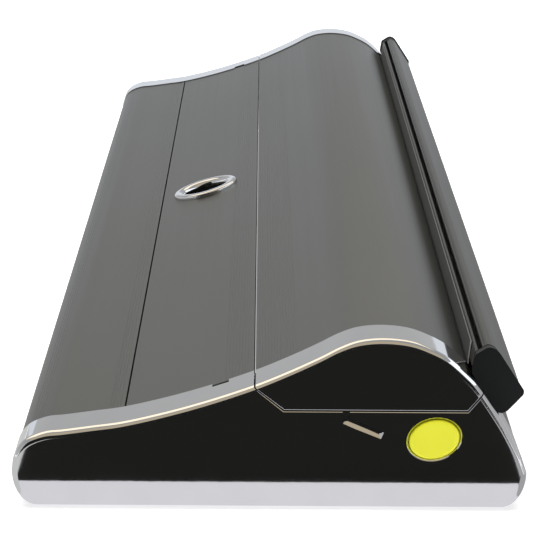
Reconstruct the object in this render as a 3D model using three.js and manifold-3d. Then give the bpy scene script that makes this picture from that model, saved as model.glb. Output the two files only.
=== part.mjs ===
// A cassette roll-up banner stand, closed: a wide base of aluminium profiles with chromed end caps, a
// lift-out cassette that holds the rolled graphic, and the top rail docked on the base's front slope.
// Millimetres, +Z up. +X runs along the stand, -Y is the front, the origin is on the floor under the middle.
import * as THREE from "three";
import { mergeVertices } from "three/addons/utils/BufferGeometryUtils.js";
import Module from "manifold-3d";

const wasm = await Module();
wasm.setup();

// Overall sizes
const graphicWidth = 850;
const graphicLength = 2100;
const graphicThickness = 0.3;
const baseDepth = 241;
const endCapDepth = 25.5;
const wall = 2;
const capWall = 3;
const capProud = 0.6; // the end caps stand this far outside the profiles
const capBottom = 1; // height of the end caps' underside
const footHeight = 3;
const fitGap = 0.3; // between pieces that touch
const slideGap = 0.5; // between pieces that slide past each other
const seamGap = 0.8; // the lines between the profiles

// Roller and cassette
const rollerTubeRadius = 19;
const rollerTubeWall = 1.5;
const spindleRadius = 4;
const rollEndGap = 2;
const rollerPlate = 3;
const trayHeight = 11; // the tray's underside above the footing
const trayUnderRoll = 4;
const hoodOverRoll = 13.8;

// Pole and its socket
const poleRadius = 13.75;
const poleWall = 1.3;
const poleLength = 820;
const socketWall = 2.75;
const socketCollarWidth = 6.7;
const socketCollarHeight = 3;
const socketFromSeam = 28;

// Top rail
const railHeight = 28.9;
const railThickness = 14.2;
const railWall = 1.5;
const railEndCap = 8;
const railPastBase = 10; // the rail's profile runs this far past the base's profiles

// Release buttons and latches
const buttonLength = 23.8;
const buttonWidth = 18.6;
const buttonTilt = THREE.MathUtils.degToRad(-15);
const buttonProud = 1;
const latchPinRadius = 1.5;
const latchWidth = 8;

// Places that follow from the sizes
const rollRadius = Math.sqrt(rollerTubeRadius ** 2 + (graphicLength * graphicThickness) / Math.PI);
const profileEnd = graphicWidth / 2 + rollEndGap + rollerPlate;
const capFace = profileEnd + endCapDepth;
const railEnd = profileEnd + railPastBase;
const rear = baseDepth / 2;
const front = -baseDepth / 2;
const floorTop = footHeight + wall;
const trayBottom = footHeight + trayHeight;
const rollerZ = trayBottom + wall + trayUnderRoll + rollRadius;
const rollerY = front + 74;
const crest = rollerZ + rollRadius + hoodOverRoll + wall;
const rearSeam = rear - 52;
const hoodSeam = front + 127.5;
const capSeam = crest - 34.5; // underside of the cassette's end caps
const socketY = rearSeam - socketFromSeam;
const socketBore = poleRadius + slideGap;
const poleZ = floorTop + 2 + socketBore;
const clipWall = 2;
const poleY = rearSeam + seamGap / 2 + wall + fitGap + clipWall + poleRadius;
const noseTop = poleZ + poleRadius + wall + 1; // height of the nose's flat top, over the pole
const buttonY = front + 43.8;
const buttonZ = capSeam - 13.6;

// ---------------------------------------------------------------- solids

function solid(geometry) {
  geometry.deleteAttribute("normal");
  geometry.deleteAttribute("uv");
  const merged = mergeVertices(geometry, 1e-4);
  return new wasm.Manifold(
    new wasm.Mesh({
      numProp: 3,
      vertProperties: new Float32Array(merged.attributes.position.array),
      triVerts: new Uint32Array(merged.index.array),
    })
  );
}

const alongX = new THREE.Matrix4().makeBasis(
  new THREE.Vector3(0, 1, 0),
  new THREE.Vector3(0, 0, 1),
  new THREE.Vector3(1, 0, 0)
);

// A prism along X whose section is a list of [y, z] points; a rim rounds the section's edge at both ends.
function prism(section, xA, xB, rim = 0) {
  const shape = new THREE.Shape(section.map(([y, z]) => new THREE.Vector2(y, z)));
  const from = Math.min(xA, xB) + rim;
  const geometry = new THREE.ExtrudeGeometry(shape, {
    depth: Math.abs(xB - xA) - 2 * rim,
    bevelEnabled: rim > 0,
    bevelThickness: rim,
    bevelSize: rim,
    bevelOffset: -rim,
    bevelSegments: 3,
    curveSegments: 12,
  });
  geometry.applyMatrix4(alongX);
  geometry.translate(from, 0, 0);
  return solid(geometry);
}

function box(x, y, z) {
  const geometry = new THREE.BoxGeometry(x[1] - x[0], y[1] - y[0], z[1] - z[0]);
  geometry.translate((x[0] + x[1]) / 2, (y[0] + y[1]) / 2, (z[0] + z[1]) / 2);
  return solid(geometry);
}

// A round bar along one axis, between two places on it, centred on the other two coordinates.
function bar(axis, radius, a, b, centre, sides = 32) {
  const geometry = new THREE.CylinderGeometry(radius, radius, Math.abs(b - a), sides);
  const middle = (a + b) / 2;
  if (axis === "x") {
    geometry.rotateZ(Math.PI / 2);
    geometry.translate(middle, centre[0], centre[1]);
  } else if (axis === "y") {
    geometry.translate(centre[0], middle, centre[1]);
  } else {
    geometry.rotateX(Math.PI / 2);
    geometry.translate(centre[0], centre[1], middle);
  }
  return solid(geometry);
}

function tube(axis, outer, inner, a, b, centre, sides = 32) {
  const past = Math.sign(b - a);
  return bar(axis, outer, a, b, centre, sides).subtract(bar(axis, inner, a - past, b + past, centre, sides));
}

function join(pieces) {
  return pieces.reduce((whole, piece) => whole.add(piece));
}

// The button's outline: an ellipse in the YZ plane that is tilted about its centre.
function oval(y, z, length, width) {
  const curve = new THREE.EllipseCurve(y, z, length / 2, width / 2, 0, 2 * Math.PI, false, buttonTilt);
  return curve
    .getPoints(40)
    .slice(1)
    .map((p) => [p.x, p.y]);
}

// The line at a distance to the right of an open line of points, seen along the line.
function beside(line, distance) {
  return line.map((point, i) => {
    const a = line[Math.max(i - 1, 0)];
    const b = line[Math.min(i + 1, line.length - 1)];
    const length = Math.hypot(b[0] - a[0], b[1] - a[1]);
    return [point[0] + ((b[1] - a[1]) / length) * distance, point[1] - ((b[0] - a[0]) / length) * distance];
  });
}

// A skin of constant thickness under a line of points that runs from the rear to the front.
function skin(line, thickness, xEnd) {
  return prism([...line, ...beside(line, -thickness).reverse()], -xEnd, xEnd);
}

// A round wire that winds about the Y axis.
function coil(radius, wire, turns, pitch, steps = 12) {
  class Helix extends THREE.Curve {
    getPoint(t, target = new THREE.Vector3()) {
      const angle = 2 * Math.PI * turns * t;
      return target.set(radius * Math.cos(angle), turns * pitch * (t - 0.5), radius * Math.sin(angle));
    }
  }
  const section = new THREE.Shape().absarc(0, 0, wire / 2, 0, 2 * Math.PI);
  return solid(
    new THREE.ExtrudeGeometry(section, {
      steps: Math.round(turns * steps),
      extrudePath: new Helix(),
      curveSegments: 3,
    })
  );
}

// ---------------------------------------------------------------- outline of the base and cassette

// The outer line over the top, from the rear foot to the front foot.
const panelFoot = noseTop + 4.1;
const panelRise = crest - 22.7 - panelFoot;
const panelSpan = hoodSeam - rearSeam;
function panelPoint(t) {
  return [rearSeam + panelSpan * t, panelFoot + panelRise * (0.72 * t + 0.28 * t * t)];
}
const footRound = 18; // height where the sides turn under
const overTop = [
  [rear, footRound],
  [rear - 0.8, noseTop - 14],
  [rear - 3.2, noseTop - 8.4],
  [rear - 7.8, noseTop - 4],
  [rear - 15.5, noseTop - 1],
  [rear - 24, noseTop],
  [rear - 38, noseTop + 2],
  panelPoint(0),
  panelPoint(1 / 3),
  panelPoint(2 / 3),
  panelPoint(1),
  [hoodSeam - 16, crest - 15.8],
  [hoodSeam - 29.5, crest - 9.3],
  [hoodSeam - 39, crest - 4.3],
  [hoodSeam - 48, crest - 1.1],
  [front + 68.5, crest],
  [front + 56.5, crest - 1.1],
  [front + 47, crest - 4.3],
  [front + 37.5, crest - 9.4],
  [front + 27.5, crest - 18.2],
  [front + 22, crest - 24.6],
  [front + 13.5, crest - 37.2],
  [front + 8.5, crest - 45.7],
  [front + 4.5, 29.5],
  [front + 1.6, 22],
  [front, footRound],
];
const topLine = new THREE.SplineCurve(overTop.map(([y, z]) => new THREE.Vector2(y, z)))
  .getPoints(overTop.length * 3)
  .map((p) => [p.x, p.y]);

// A quarter round at a lower corner, from its side to the underside or back.
function footCorner(y, sign, bottom) {
  const width = 11.5;
  const height = footRound - bottom;
  return [1, 2, 3, 4, 5].map((i) => {
    const angle = (i / 5) * (Math.PI / 2);
    return [y - sign * width * (1 - Math.cos(angle)), footRound - height * Math.sin(angle)];
  });
}

// The whole closed section of an end cap, from the underside's rear end over the top.
const capSection = [
  ...footCorner(rear, 1, capBottom).reverse(),
  ...topLine,
  ...footCorner(front, -1, capBottom),
];
const profileLine = [
  ...beside([...footCorner(rear, 1, footHeight - capProud).reverse(), ...topLine], -capProud),
  ...beside(footCorner(front, -1, footHeight - capProud), -capProud),
];

// The part of the profiles' line between two places across the depth, rear first.
function stretch(yRear, yFront) {
  const places = [];
  profileLine.forEach((b, i) => {
    if (i > 0) {
      const a = profileLine[i - 1];
      for (const y of [yRear, yFront]) {
        if ((a[0] - y) * (b[0] - y) < 0 && (a[1] + b[1]) / 2 > 20) {
          const t = (y - a[0]) / (b[0] - a[0]);
          places.push([y, a[1] + t * (b[1] - a[1])]);
        }
      }
    }
    if (b[0] < yRear && b[0] > yFront) {
      places.push(b);
    }
  });
  return places;
}

function heightAt(y) {
  return stretch(y, y - 0.01)[0][1];
}

// ---------------------------------------------------------------- pieces and finishes

const stand = new THREE.Group();
const anodised = { color: 0x6f7271, roughness: 0.42, metalness: 0.85 };
const bare = { color: 0xa9abad, roughness: 0.35, metalness: 0.9 };
const chrome = { color: 0xd6d8dc, roughness: 0.06, metalness: 1 };
const steel = { color: 0xb9bbbe, roughness: 0.3, metalness: 1 };
const black = { color: 0x202426, roughness: 0.55, metalness: 0 };
const yellow = { color: 0xe7e63e, roughness: 0.38, metalness: 0 };
const film = { color: 0xf2f2ef, roughness: 0.5, metalness: 0 };
const sides = [
  ["left", -1],
  ["right", 1],
];

function add(parent, name, shape, finish) {
  const { vertProperties, triVerts } = shape.getMesh();
  const geometry = new THREE.BufferGeometry();
  geometry.setAttribute("position", new THREE.BufferAttribute(new Float32Array(vertProperties), 3));
  geometry.setIndex(new THREE.BufferAttribute(new Uint32Array(triVerts), 1));
  geometry.computeVertexNormals();
  const mesh = new THREE.Mesh(geometry, new THREE.MeshStandardMaterial(finish));
  mesh.name = name;
  parent.add(mesh);
  return mesh;
}

function group(x, y, z, turnX = 0) {
  const made = new THREE.Group();
  made.position.set(x, y, z);
  made.rotation.x = turnX;
  stand.add(made);
  return made;
}

// ---------------------------------------------------------------- base profiles

const tongues = [front + 60.5, socketY - 5]; // where the end caps reach under the profiles
const screwRadius = 1.7;
const screwX = profileEnd - 8;

function upright(yRear, zTop) {
  return box([-profileEnd, profileEnd], [yRear - wall, yRear], [footHeight, zTop]);
}

function floorPlate(yFront, yRear) {
  return box([-profileEnd, profileEnd], [yFront, yRear], [footHeight, floorTop]);
}

function withScrewHoles(shape) {
  const places = sides.flatMap(([, side]) => tongues.map((y) => [side * screwX, y]));
  return places.reduce(
    (cut, place) => cut.subtract(bar("z", screwRadius + fitGap, 0, floorTop + 10, place, 16)),
    shape
  );
}

const noseFront = rearSeam + seamGap / 2;
const noseLine = profileLine.filter(([y], i) => i < profileLine.length / 2 && y > noseFront);
const noseProfile = join([
  skin([...noseLine, [noseFront, heightAt(noseFront)]], wall, profileEnd),
  upright(noseFront + wall, heightAt(noseFront) - wall / 2),
  floorPlate(noseFront, rear - 9),
]);
add(stand, "rear_nose_profile", noseProfile, anodised);

const panelRear = rearSeam - seamGap / 2;
const panelFront = hoodSeam + seamGap / 2;
const panelHole = socketBore + socketWall + fitGap;
const panelProfile = join([
  skin(stretch(panelRear, panelFront), wall, profileEnd),
  upright(panelRear, heightAt(panelRear) - wall / 2),
  upright(panelFront + wall, heightAt(panelFront + wall) - wall / 2),
  floorPlate(panelFront, panelRear),
]).subtract(bar("z", panelHole, floorTop + 5, crest, [0, socketY], 48));
add(stand, "middle_panel_profile", withScrewHoles(panelProfile), anodised);

const troughRear = hoodSeam - seamGap / 2;
const slotFront = front + 24.6; // the slot that the graphic comes out of, its front side
const slotTop = heightAt(slotFront);
const frontLine = profileLine.filter(([y], i) => i > profileLine.length / 2 && y < slotFront);
const slotLip = [
  [slotFront + 0.2, slotTop - 0.2],
  [slotFront + 2.9, slotTop - 1.2],
  [slotFront + 2.9, slotTop - 2.6],
  [slotFront + 0.8, slotTop - 2.6],
];
const troughProfile = join([
  skin([[slotFront, slotTop], ...frontLine], wall, profileEnd),
  prism(slotLip, -profileEnd, profileEnd),
  upright(troughRear, heightAt(troughRear) - 4 * wall),
  floorPlate(front + 9, troughRear),
]);
add(stand, "front_trough_profile", withScrewHoles(troughProfile), anodised);

for (const [i, x] of [-1, 1].entries()) {
  for (const [k, y] of [front + 26, rear - 26].entries()) {
    const pad = bar("z", 9, 0, footHeight - fitGap, [0, 0], 24);
    add(group(x * (profileEnd - 35), y, 0), `foot_pad_${2 * i + k + 1}`, pad, black);
  }
}

// ---------------------------------------------------------------- end caps

// The line where the cassette's end cap sits in the base's, as an area that is open upwards.
function cassetteArea(grow) {
  return [
    [hoodSeam + grow, crest + 20],
    [hoodSeam + grow, heightAt(hoodSeam) - 0.4],
    [hoodSeam - 13.6 + grow * 0.4, capSeam - grow],
    [front + 28.5 - grow * 0.4, capSeam - grow],
    [front + 21 - grow, crest - 25.4],
    [front - 20, crest + 15],
    [front - 20, crest + 20],
  ];
}

const bottomRound = 4;
const capRim = 3;

// The space between a cap's inner end and its face, with the round along the
// lower edge, drawn in by an inset.
function underEdge(side, inner, inset) {
  const radius = bottomRound - inset;
  const edge = new THREE.Shape();
  edge.moveTo(inner, crest + 10);
  edge.lineTo(inner, capBottom + inset);
  edge.absarc(capFace - bottomRound, capBottom + bottomRound, radius, -Math.PI / 2, 0, false);
  edge.lineTo(capFace - inset, crest + 10);
  const space = new THREE.ExtrudeGeometry(edge, {
    depth: baseDepth + 20,
    bevelEnabled: false,
    curveSegments: 7,
  });
  space.rotateX(Math.PI / 2);
  space.translate(0, rear + 10, 0);
  space.rotateZ(side < 0 ? Math.PI : 0);
  return solid(space);
}

// A solid end cap with a small rim round its face.
function wholeCap(side) {
  const long = prism(capSection, side * (profileEnd - 10), side * capFace, capRim);
  return long.intersect(underEdge(side, profileEnd + fitGap, 0));
}

function across(section, side, from, to) {
  return prism(section, side * from, side * to);
}

function blockAt(side, from, to, y, z) {
  const x = [side * from, side * to].sort((a, b) => a - b);
  return box(x, y, z);
}

const roomSection = beside([...capSection, capSection[0]], -(capWall - 0.5)).slice(0, -1);
const pinX = profileEnd + 6.5;
const pinZ = capSeam - 10.7;
const lugOffset = latchWidth / 2 + 5.5;
const grooveLine = [
  [front + 85, capSeam + 1],
  [front + 85, capSeam - 5],
  [front + 68, capSeam - 12],
];
const grooveWidth = 3.4;
const groove = [...beside(grooveLine, grooveWidth / 2), ...beside(grooveLine, -grooveWidth / 2).reverse()];
const hatchRadius = poleRadius + 1;

const footLevel = floorTop + fitGap;

for (const [name, side] of sides) {
  const inside = underEdge(side, profileEnd - 1, capWall);
  const room = across(roomSection, side, profileEnd - 1, capFace).intersect(inside);
  const area = (grow) => across(cassetteArea(grow), side, profileEnd - 20, capFace + 20);
  const foot = tongues.map((y) =>
    join([
      blockAt(side, profileEnd - 16, profileEnd + 2, [y - 9, y + 9], [footLevel, footLevel + 3]),
      blockAt(side, profileEnd + fitGap, capFace - 9, [y - 9, y + 9], [capBottom + 1, footLevel + 3]),
    ])
  );
  const lugs = [-1, 1].map((hand) => {
    const y = buttonY + hand * lugOffset;
    return blockAt(side, pinX - 3.7, pinX + 4, [y - 1.5, y + 1.5], [pinZ - 3.5, capSeam - 1.5]);
  });
  const shell = wholeCap(side).subtract(area(seamGap / 2)).subtract(room.subtract(area(capWall)));
  const buttonHole = oval(buttonY, buttonZ, buttonLength + 2 * slideGap, buttonWidth + 2 * slideGap);
  let baseCap = withScrewHoles(join([shell, ...foot, ...lugs]))
    .subtract(across(buttonHole, side, capFace - capWall - 1, capFace + 9))
    .subtract(bar("y", latchPinRadius + fitGap, buttonY - 20, buttonY + 20, [side * pinX, pinZ], 16))
    .subtract(across(groove, side, capFace - capWall - 1, capFace + 5));
  if (side > 0) {
    baseCap = baseCap.subtract(bar("x", hatchRadius, profileEnd - 30, capFace + 9, [poleY, poleZ], 40));
  }
  add(stand, `base_cap_${name}`, baseCap, chrome);
  const cassetteCap = wholeCap(side)
    .intersect(area(-seamGap / 2))
    .subtract(room.intersect(area(-capWall)));
  add(stand, `cassette_cap_${name}`, cassetteCap, chrome);
  for (const [i, y] of tongues.entries()) {
    const screw = join([
      bar("z", 3.4, capBottom, footHeight - fitGap, [0, 0], 20),
      bar("z", screwRadius, 2, floorTop + 3, [0, 0], 16),
    ]);
    add(group(side * screwX, y, 0), `cap_screw_${name}_${i + 1}`, screw, steel);
  }
}

// ---------------------------------------------------------------- release buttons and latches

for (const [name, side] of sides) {
  const stemZ = pinZ - 8;
  const back = capFace - capWall - fitGap;
  const button = join([
    across(oval(buttonY, buttonZ, buttonLength, buttonWidth), side, back - 1, capFace + buttonProud),
    across(oval(buttonY, buttonZ, buttonLength + 4, buttonWidth + 4), side, back - 2.2, back).intersect(
      blockAt(side, profileEnd, capFace, [front, rear], [0, capSeam - capWall - slideGap])
    ),
    bar("x", 1.5, side * (pinX + 2.3), side * (back - 1), [buttonY, stemZ], 12),
  ]);
  add(stand, `release_button_${name}`, button, yellow);

  const half = latchWidth / 2;
  const acrossLatch = [buttonY - half, buttonY + half];
  const lever = join([
    blockAt(side, pinX - 1.5, pinX + 1.5, acrossLatch, [pinZ - 10, pinZ + 5]),
    blockAt(side, profileEnd + 0.4, pinX, acrossLatch, [pinZ + 2.5, pinZ + 5]),
    bar("y", 3.3, ...acrossLatch, [side * pinX, pinZ], 20),
  ]).subtract(bar("y", latchPinRadius + fitGap, buttonY - 20, buttonY + 20, [side * pinX, pinZ], 16));
  add(stand, `latch_lever_${name}`, lever, steel);

  const pinReach = lugOffset + 2;
  const pin = bar("y", latchPinRadius, -pinReach, pinReach, [0, 0], 16);
  add(group(side * pinX, buttonY, pinZ), `latch_pin_${name}`, pin, steel);
  const spring = coil(2.9, 0.7, 3, 0.9);
  add(group(side * pinX, buttonY + half + 2, pinZ), `latch_spring_${name}`, spring, steel);
}

// ---------------------------------------------------------------- pole socket

const socketTop = heightAt(socketY);
const collarLean = Math.atan2(heightAt(socketY - 8) - heightAt(socketY + 8), 16);
const socketHole = bar("z", socketBore, 0, crest, [0, socketY], 48);
const collarRadius = socketBore + socketCollarWidth;
const collarRing = new THREE.LatheGeometry(
  [
    [0, -2],
    [collarRadius, -2],
    [collarRadius, socketCollarHeight - 1],
    [collarRadius - 0.4, socketCollarHeight - 0.3],
    [collarRadius - 1.2, socketCollarHeight],
    [0, socketCollarHeight],
  ].map(([r, z]) => new THREE.Vector2(r, z)),
  48
);
collarRing.rotateX(Math.PI / 2 - collarLean);
collarRing.translate(0, socketY, socketTop);
const panelLine = stretch(panelRear, panelFront);
const underPanel = prism([...beside(panelLine, fitGap), [panelFront, 0], [panelRear, 0]], -50, 50);
add(stand, "pole_socket_collar", solid(collarRing).subtract(socketHole).subtract(underPanel), chrome);

const underCollar = [-30, 30].map((dy) => [socketY + dy, socketTop - 2 - fitGap - Math.tan(collarLean) * dy]);
const socketTube = join([
  bar("z", socketBore + socketWall, floorTop + fitGap, crest, [0, socketY], 48),
  bar("z", socketBore + 3 * socketWall, floorTop + fitGap, floorTop + fitGap + 3, [0, socketY], 48),
])
  .intersect(prism([...underCollar, [socketY + 30, 0], [socketY - 30, 0]], -40, 40))
  .subtract(socketHole);
add(stand, "pole_socket_tube", socketTube, black);

// ---------------------------------------------------------------- stowed pole

const pole = group(0, poleY, poleZ);
const onAxis = [0, 0];
const poleFoot = 6 - profileEnd;
const outerEnd = poleFoot + poleLength;
const middleRadius = poleRadius - poleWall - slideGap;
const innerRadius = middleRadius - poleWall - slideGap;
const collarLength = 19;
const middleEnd = outerEnd + collarLength + 9;
const innerEnd = middleEnd + 16;
function poleTube(radius, inner, from, to) {
  return tube("x", radius, inner, from, to, onAxis);
}
const outerTube = poleTube(poleRadius, poleRadius - poleWall, poleFoot, outerEnd);
const outerLock = poleTube(poleRadius, middleRadius + slideGap, outerEnd + fitGap, outerEnd + collarLength);
const middleTube = poleTube(middleRadius, middleRadius - poleWall, poleFoot + 20, middleEnd);
const innerLock = poleTube(poleRadius, innerRadius + slideGap, middleEnd + fitGap, middleEnd + 12);
const innerTube = poleTube(innerRadius, innerRadius - poleWall, poleFoot + 40, innerEnd);
add(pole, "pole_foot_plug", bar("x", poleRadius, poleFoot - 4, poleFoot - fitGap, onAxis), black);
add(pole, "pole_outer_tube", outerTube, bare);
add(pole, "pole_lock_collar_outer", outerLock, black);
add(pole, "pole_middle_tube", middleTube, bare);
add(pole, "pole_lock_collar_inner", innerLock, black);
add(pole, "pole_inner_tube", innerTube, bare);
const hook = join([
  bar("x", innerRadius, innerEnd + fitGap, innerEnd + 4, onAxis),
  box([innerEnd + 3, capFace - 1], [-6, -3], [-8, 8]),
  box([capFace - 4, capFace - 1], [-6, 4], [-8, 8]),
]);
add(pole, "pole_top_hook", hook, black);

for (const [i, x] of [-300, 250].entries()) {
  const clipHalf = poleRadius + clipWall;
  const seat = box([-6, 6], [-clipHalf, clipHalf], [floorTop + fitGap - poleZ, -3]);
  const clip = seat.subtract(bar("x", socketBore, -10, 10, onAxis));
  add(group(x, poleY, poleZ), `pole_clip_${i + 1}`, clip, black);
}

// ---------------------------------------------------------------- cassette

const hoodFront = front + 27.5;
const hoodLine = stretch(troughRear, hoodFront);
add(stand, "cassette_hood", skin(hoodLine, wall, profileEnd), anodised);

const trayRear = troughRear - wall - 2 * slideGap;
const trayFront = front + 31;
const trayEnd = profileEnd - rollerPlate - fitGap;
const underHood = wall * 1.15 + fitGap;
const tray = join([
  box([-trayEnd, trayEnd], [trayFront, trayRear], [trayBottom, trayBottom + wall]),
  box([-trayEnd, trayEnd], [trayRear - wall, trayRear], [trayBottom, heightAt(trayRear) - underHood]),
  box([-trayEnd, trayEnd], [trayFront, trayFront + wall], [trayBottom, crest - 31]),
]);
add(stand, "cassette_tray", tray, anodised);

const underHoodLine = beside(hoodLine, -wall - fitGap).filter(([y]) => y < trayRear && y > trayFront);
const plateSection = [[trayRear, trayBottom], ...underHoodLine, [trayFront, trayBottom]];
for (const [name, side] of sides) {
  const plate = across(plateSection, side, profileEnd - rollerPlate, profileEnd).subtract(
    bar("x", spindleRadius + fitGap, -profileEnd - 5, profileEnd + 5, [rollerY, rollerZ])
  );
  add(stand, `roller_plate_${name}`, plate, steel);
}

const roller = group(0, rollerY, rollerZ);
const tubeEnd = graphicWidth / 2 + 1;
const plugLength = 12;
const rollerInner = rollerTubeRadius - rollerTubeWall;
const rollerTube = tube("x", rollerTubeRadius, rollerInner, -tubeEnd, tubeEnd, onAxis, 36);
const halfGraphic = graphicWidth / 2;
const wound = tube("x", rollRadius, rollerTubeRadius + fitGap, -halfGraphic, halfGraphic, onAxis, 48);
add(roller, "roller_spindle", bar("x", spindleRadius, -profileEnd, profileEnd, onAxis, 24), steel);
add(roller, "roller_tube", rollerTube, bare);
for (const [name, side] of sides) {
  const plugBore = spindleRadius + slideGap;
  const plugEnds = [side * (tubeEnd - plugLength), side * tubeEnd];
  const plug = tube("x", rollerInner - fitGap, plugBore, ...plugEnds, onAxis);
  add(roller, `roller_plug_${name}`, plug, black);
}
add(roller, "wound_graphic", wound, film);
const rollerSpring = add(roller, "roller_spring", coil(8, 1.6, 16, 7, 10), steel);
rollerSpring.rotation.z = Math.PI / 2;
rollerSpring.position.x = 70 - graphicWidth / 2;

// ---------------------------------------------------------------- top rail

const slopeTop = [front + 22, crest - 24.6];
const slopeFoot = [front + 13.5, crest - 37.2];
const railLean = Math.atan2(slopeTop[0] - slopeFoot[0], slopeTop[1] - slopeFoot[1]);
const railOff = 0.8; // from the slope to the rail's inner face
const railY = slopeFoot[0] - railOff * Math.cos(railLean);
const railZ = slopeFoot[1] + railOff * Math.sin(railLean);
const rail = group(0, railY, railZ, -railLean);

// Sections of the rail are [out from the slope, up the slope].
function railSection(points) {
  return points.map(([out, up]) => [-out, up]);
}
const lip = 6.8; // the clamp's gap starts here and is closed by the jaw
const jawFace = lip + 1.8;
const knee = [5.4, railHeight];
const railBody = railSection([
  [0, 0],
  [0, railHeight - 5.7],
  knee,
  [lip, railHeight],
  [lip, 5],
  [9.6, 5],
  [9.6, 1.1],
  [2.6, -0.7],
]);
const railRoom = railSection([
  [railWall, 1.3],
  [railWall, railHeight - 6.5],
  [lip - railWall, railHeight - 4],
  [lip - railWall, 1.3],
]);
const hollowRail = prism(railBody, -railEnd, railEnd).subtract(prism(railRoom, -railEnd - 1, railEnd + 1));
add(rail, "rail_body", hollowRail, anodised);
const strip = railSection([
  [lip + 0.4, 6],
  [lip + 0.4, railHeight - 2],
  [jawFace - 0.5, railHeight - 2],
  [jawFace - 0.5, 6],
]);
add(rail, "graphic_clamp_strip", prism(strip, -graphicWidth / 2, graphicWidth / 2), film);
const outer = [
  [12, railHeight - 0.2],
  [13.6, railHeight - 2.1],
  [railThickness, railHeight - 4.4],
  [railThickness - 0.3, 3],
  [13.2, 1.9],
];
const jaw = railSection([
  [10.9, 1.7],
  [10.5, 4.7],
  [railThickness - wall, 6.5],
  [railThickness - wall, railHeight - 9.4],
  [jawFace, railHeight - 9.4],
  [jawFace, railHeight - 1.3],
  [jawFace + 0.8, railHeight - 0.2],
  ...outer,
]);
add(rail, "rail_jaw", prism(jaw, -railEnd + fitGap, railEnd - fitGap), anodised);
const endSection = railSection([[0, 0], [0, railHeight - 5.7], knee, ...outer, [2.6, -0.7]]);
for (const [name, side] of sides) {
  const end = prism(endSection, side * (railEnd + fitGap), side * (railEnd + railEndCap), 1);
  add(rail, `rail_end_cap_${name}`, end, black);
}

// ---------------------------------------------------------------- graphic between the roll and the rail

const hemThickness = 0.6;
function band(line, thickness) {
  return prism([...line, ...beside(line, thickness).reverse()], -graphicWidth / 2, graphicWidth / 2);
}
const hemFoot = [hoodFront - 1.4, crest - 18.4];
const hemTop = [hemFoot[0] - 1.1, hemFoot[1] + 9.2];
add(stand, "graphic_hem", band([hemFoot, hemTop], hemThickness), film);

const leaveAngle = THREE.MathUtils.degToRad(9);
const leave = rollRadius + fitGap;
const leavePoint = [rollerY - leave * Math.sin(leaveAngle), rollerZ + leave * Math.cos(leaveAngle)];
const slotPoint = [hoodFront - 0.4, slotTop + 1.4 - 0.4 * wall];
add(stand, "graphic_in_cassette", band([leavePoint, slotPoint], hemThickness), film);
const webFoot = [hemFoot[0], slotPoint[1] + 2 * fitGap];
add(stand, "graphic_web", band([webFoot, [hemFoot[0], hemFoot[1] - fitGap]], hemThickness), film);

export default stand;
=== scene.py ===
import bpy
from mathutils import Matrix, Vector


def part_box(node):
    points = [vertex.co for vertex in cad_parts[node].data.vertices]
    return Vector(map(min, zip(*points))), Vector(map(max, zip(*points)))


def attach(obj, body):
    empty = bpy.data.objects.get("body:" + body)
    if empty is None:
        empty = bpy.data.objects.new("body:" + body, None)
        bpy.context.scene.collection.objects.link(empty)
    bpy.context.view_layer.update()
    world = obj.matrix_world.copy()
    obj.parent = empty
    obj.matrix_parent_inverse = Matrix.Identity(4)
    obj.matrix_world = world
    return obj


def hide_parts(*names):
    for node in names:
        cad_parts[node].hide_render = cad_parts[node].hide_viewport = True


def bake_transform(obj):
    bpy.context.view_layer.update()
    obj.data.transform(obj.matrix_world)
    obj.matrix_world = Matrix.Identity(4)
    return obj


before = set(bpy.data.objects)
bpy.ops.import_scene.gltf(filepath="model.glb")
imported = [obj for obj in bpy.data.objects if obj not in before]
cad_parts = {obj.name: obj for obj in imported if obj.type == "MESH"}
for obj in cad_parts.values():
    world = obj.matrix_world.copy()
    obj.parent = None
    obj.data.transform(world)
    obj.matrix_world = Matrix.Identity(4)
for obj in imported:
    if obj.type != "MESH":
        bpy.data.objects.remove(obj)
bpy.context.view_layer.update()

import math

import bmesh
import bpy
from mathutils import Matrix, Vector

# ---------------------------------------------------------------- rear nose
# The rearmost of the base's three long profiles: a hollow, dark grey anodised aluminium extrusion with
# a rounded back, which the stowed pole lies in. Fine reeds run along it. The end caps hold it.

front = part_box("base_cap_left")[0].y
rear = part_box("base_cap_left")[1].y
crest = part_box("cassette_cap_left")[1].z
profile_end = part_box("rear_nose_profile")[1].x
wall = 0.002
cap_proud = 0.0006
fit_gap = 0.0003
seam_gap = 0.0008
profile_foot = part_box("rear_nose_profile")[0].z
floor_top = profile_foot + wall
nose_top = 0.038
foot_round = 0.018
foot_width = 0.0115
rear_seam = rear - 0.052
hood_seam = front + 0.1275
mm = 0.001


class Wire:
    """A socket in a material, on which +, - and * add Math nodes."""

    def __init__(self, paint, socket):
        self.paint = paint
        self.socket = socket

    def __add__(self, other):
        return self.paint.sum("ADD", self, other)

    def __radd__(self, other):
        return self.paint.sum("ADD", other, self)

    def __sub__(self, other):
        return self.paint.sum("SUBTRACT", self, other)

    def __rsub__(self, other):
        return self.paint.sum("SUBTRACT", other, self)

    def __mul__(self, other):
        return self.paint.sum("MULTIPLY", self, other)

    def __rmul__(self, other):
        return self.paint.sum("MULTIPLY", other, self)


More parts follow.
